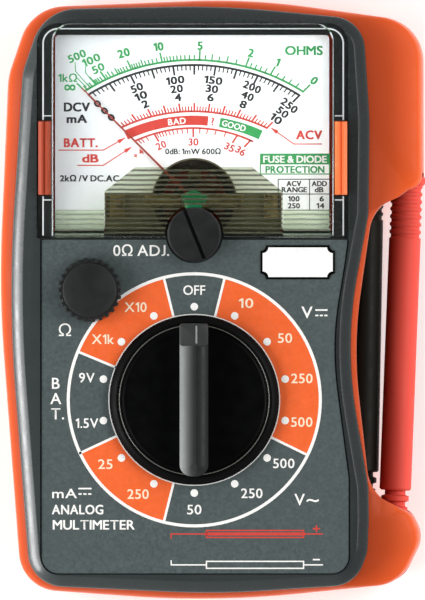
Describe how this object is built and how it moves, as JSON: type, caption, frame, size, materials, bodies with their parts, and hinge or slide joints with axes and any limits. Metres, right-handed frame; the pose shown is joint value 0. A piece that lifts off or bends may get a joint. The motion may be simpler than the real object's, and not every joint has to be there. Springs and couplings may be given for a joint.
{
  "type": "analog multimeter",
  "caption": "Pocket analog multimeter with a moving-coil scale, rotary range selector, zero and ohm adjusters, AA cell bay and two test probes stored at its side.",
  "frame": {"origin": "centre of the footprint, on the plane that the meter's rubber feet rest on", "axes": "+Z out of the meter's face, +Y along the case towards the scale window, +X to the right of a person who reads the scale"},
  "size_m": [0.0981, 0.138, 0.0373],
  "materials": {
    "case_orange": "satin moulded",
    "front_dark": "fine satin texture",
    "panel_slate": "matt printed film",
    "plate_white": "matt printed",
    "window_clear": "clear polished",
    "clip_orange": "gloss moulded",
    "scale_white": "matt printed",
    "base_brown": "satin moulded",
    "soft_iron": "machined",
    "brass": "satin",
    "copper_wire": "enamelled wire",
    "steel": "satin",
    "pointer_red": "painted",
    "knob_black": "gloss moulded",
    "switch_ivory": "moulded",
    "pot_blue": "moulded",
    "board_green": "solder resist",
    "resistor_tan": "lacquered",
    "fuse_glass": "clear with tinned caps",
    "tinned": "tinned",
    "cell_label": "plain printed sleeve",
    "rubber_black": "matt",
    "probe_red": "satin moulded",
    "probe_black": "satin moulded",
    "print_white": "printed ink",
    "print_orange": "printed ink",
    "print_green": "printed ink",
    "print_red": "printed ink",
    "print_black": "printed ink"
  },
  "bodies": {
    "case": {"rear_case": "case_orange", "front_case": "front_dark", "face_plate": "panel_slate", "name_plate": "plate_white", "window_cover": "window_clear", "window_clip_left": "clip_orange", "window_clip_right": "clip_orange", "scale_plate": "scale_white", "movement_base": "base_brown", "movement_yoke": "soft_iron", "core_magnet": "soft_iron", "core_clamps": "brass", "upper_bridge": "brass", "lower_bridge": "brass", "jewel_screws": "brass", "movement_terminals": "brass", "detent_ring": "switch_ivory", "potentiometer_body": "pot_blue", "circuit_board": "board_green", "switch_contacts": "copper_wire", "resistors": "resistor_tan", "diodes": "probe_black", "fuse": "fuse_glass", "fuse_clips": "tinned", "board_screws": "steel", "battery": "cell_label", "battery_spring": "tinned", "battery_contact": "tinned", "case_screws": "steel", "rubber_feet": "rubber_black", "red_lead_grommet": "probe_red", "black_lead_grommet": "probe_black"},
    "selector": {"selector_knob": "knob_black", "selector_rotor": "switch_ivory", "rotor_wipers": "brass", "rotor_screw": "steel", "detent_balls": "steel", "detent_springs": "steel"},
    "ohm_adjuster": {"ohm_adjust_knob": "knob_black", "potentiometer_shaft": "steel"},
    "zero_adjuster": {"zero_adjust_screw": "knob_black"},
    "zero_arm": {"zero_lever": "brass"},
    "needle": {"pointer": "pointer_red", "moving_coil": "copper_wire", "spindles": "steel", "upper_hairspring": "brass", "lower_hairspring": "brass"},
    "door": {"battery_door": "case_orange"},
    "red_probe": {"red_probe_handle": "probe_red", "red_probe_tip": "steel", "red_probe_relief": "probe_red"},
    "black_probe": {"black_probe_handle": "probe_black", "black_probe_tip": "steel", "black_probe_relief": "probe_black"}
  },
  "joints": [
    {"name": "selector_turn", "type": "hinge", "parent": "case", "child": "selector", "pos_m": [-0.0043, -0.023, 0.0286], "axis": [0, 0, 1], "continuous": true},
    {"name": "ohm_adjust_turn", "type": "hinge", "parent": "case", "child": "ohm_adjuster", "pos_m": [-0.0283, 0.0022, 0.0286], "axis": [0, 0, 1], "range_deg": [-140, 140]},
    {"name": "zero_adjust_turn", "type": "hinge", "parent": "case", "child": "zero_adjuster", "pos_m": [-0.0043, 0.015, 0.0301], "axis": [0, 0, 1], "range_deg": [-40, 40]},
    {"name": "zero_lever_turn", "type": "hinge", "parent": "case", "child": "zero_arm", "pos_m": [-0.0043, 0.0228, 0.0268], "axis": [0, 0, 1], "range_deg": [-8, 8]},
    {"name": "pointer_swing", "type": "hinge", "parent": "case", "child": "needle", "pos_m": [-0.0043, 0.0228, 0.0251], "axis": [0, 0, 1], "range_deg": [-90, 0], "stiffness_Nm_per_rad": 0.00001},
    {"name": "door_slide", "type": "slide", "parent": "case", "child": "door", "axis": [0, -1, 0], "range_m": [0, 0.014]},
    {"name": "red_probe_slide", "type": "slide", "parent": "case", "child": "red_probe", "axis": [-0.0384, -0.9993, 0], "range_m": [0, 0.035]},
    {"name": "black_probe_slide", "type": "slide", "parent": "case", "child": "black_probe", "axis": [-0.018, -0.9998, 0], "range_m": [0, 0.035]}
  ],
  "couplings": [
    {"joint": "zero_lever_turn", "follows": "zero_adjust_turn", "ratio": -0.17}
  ]
}
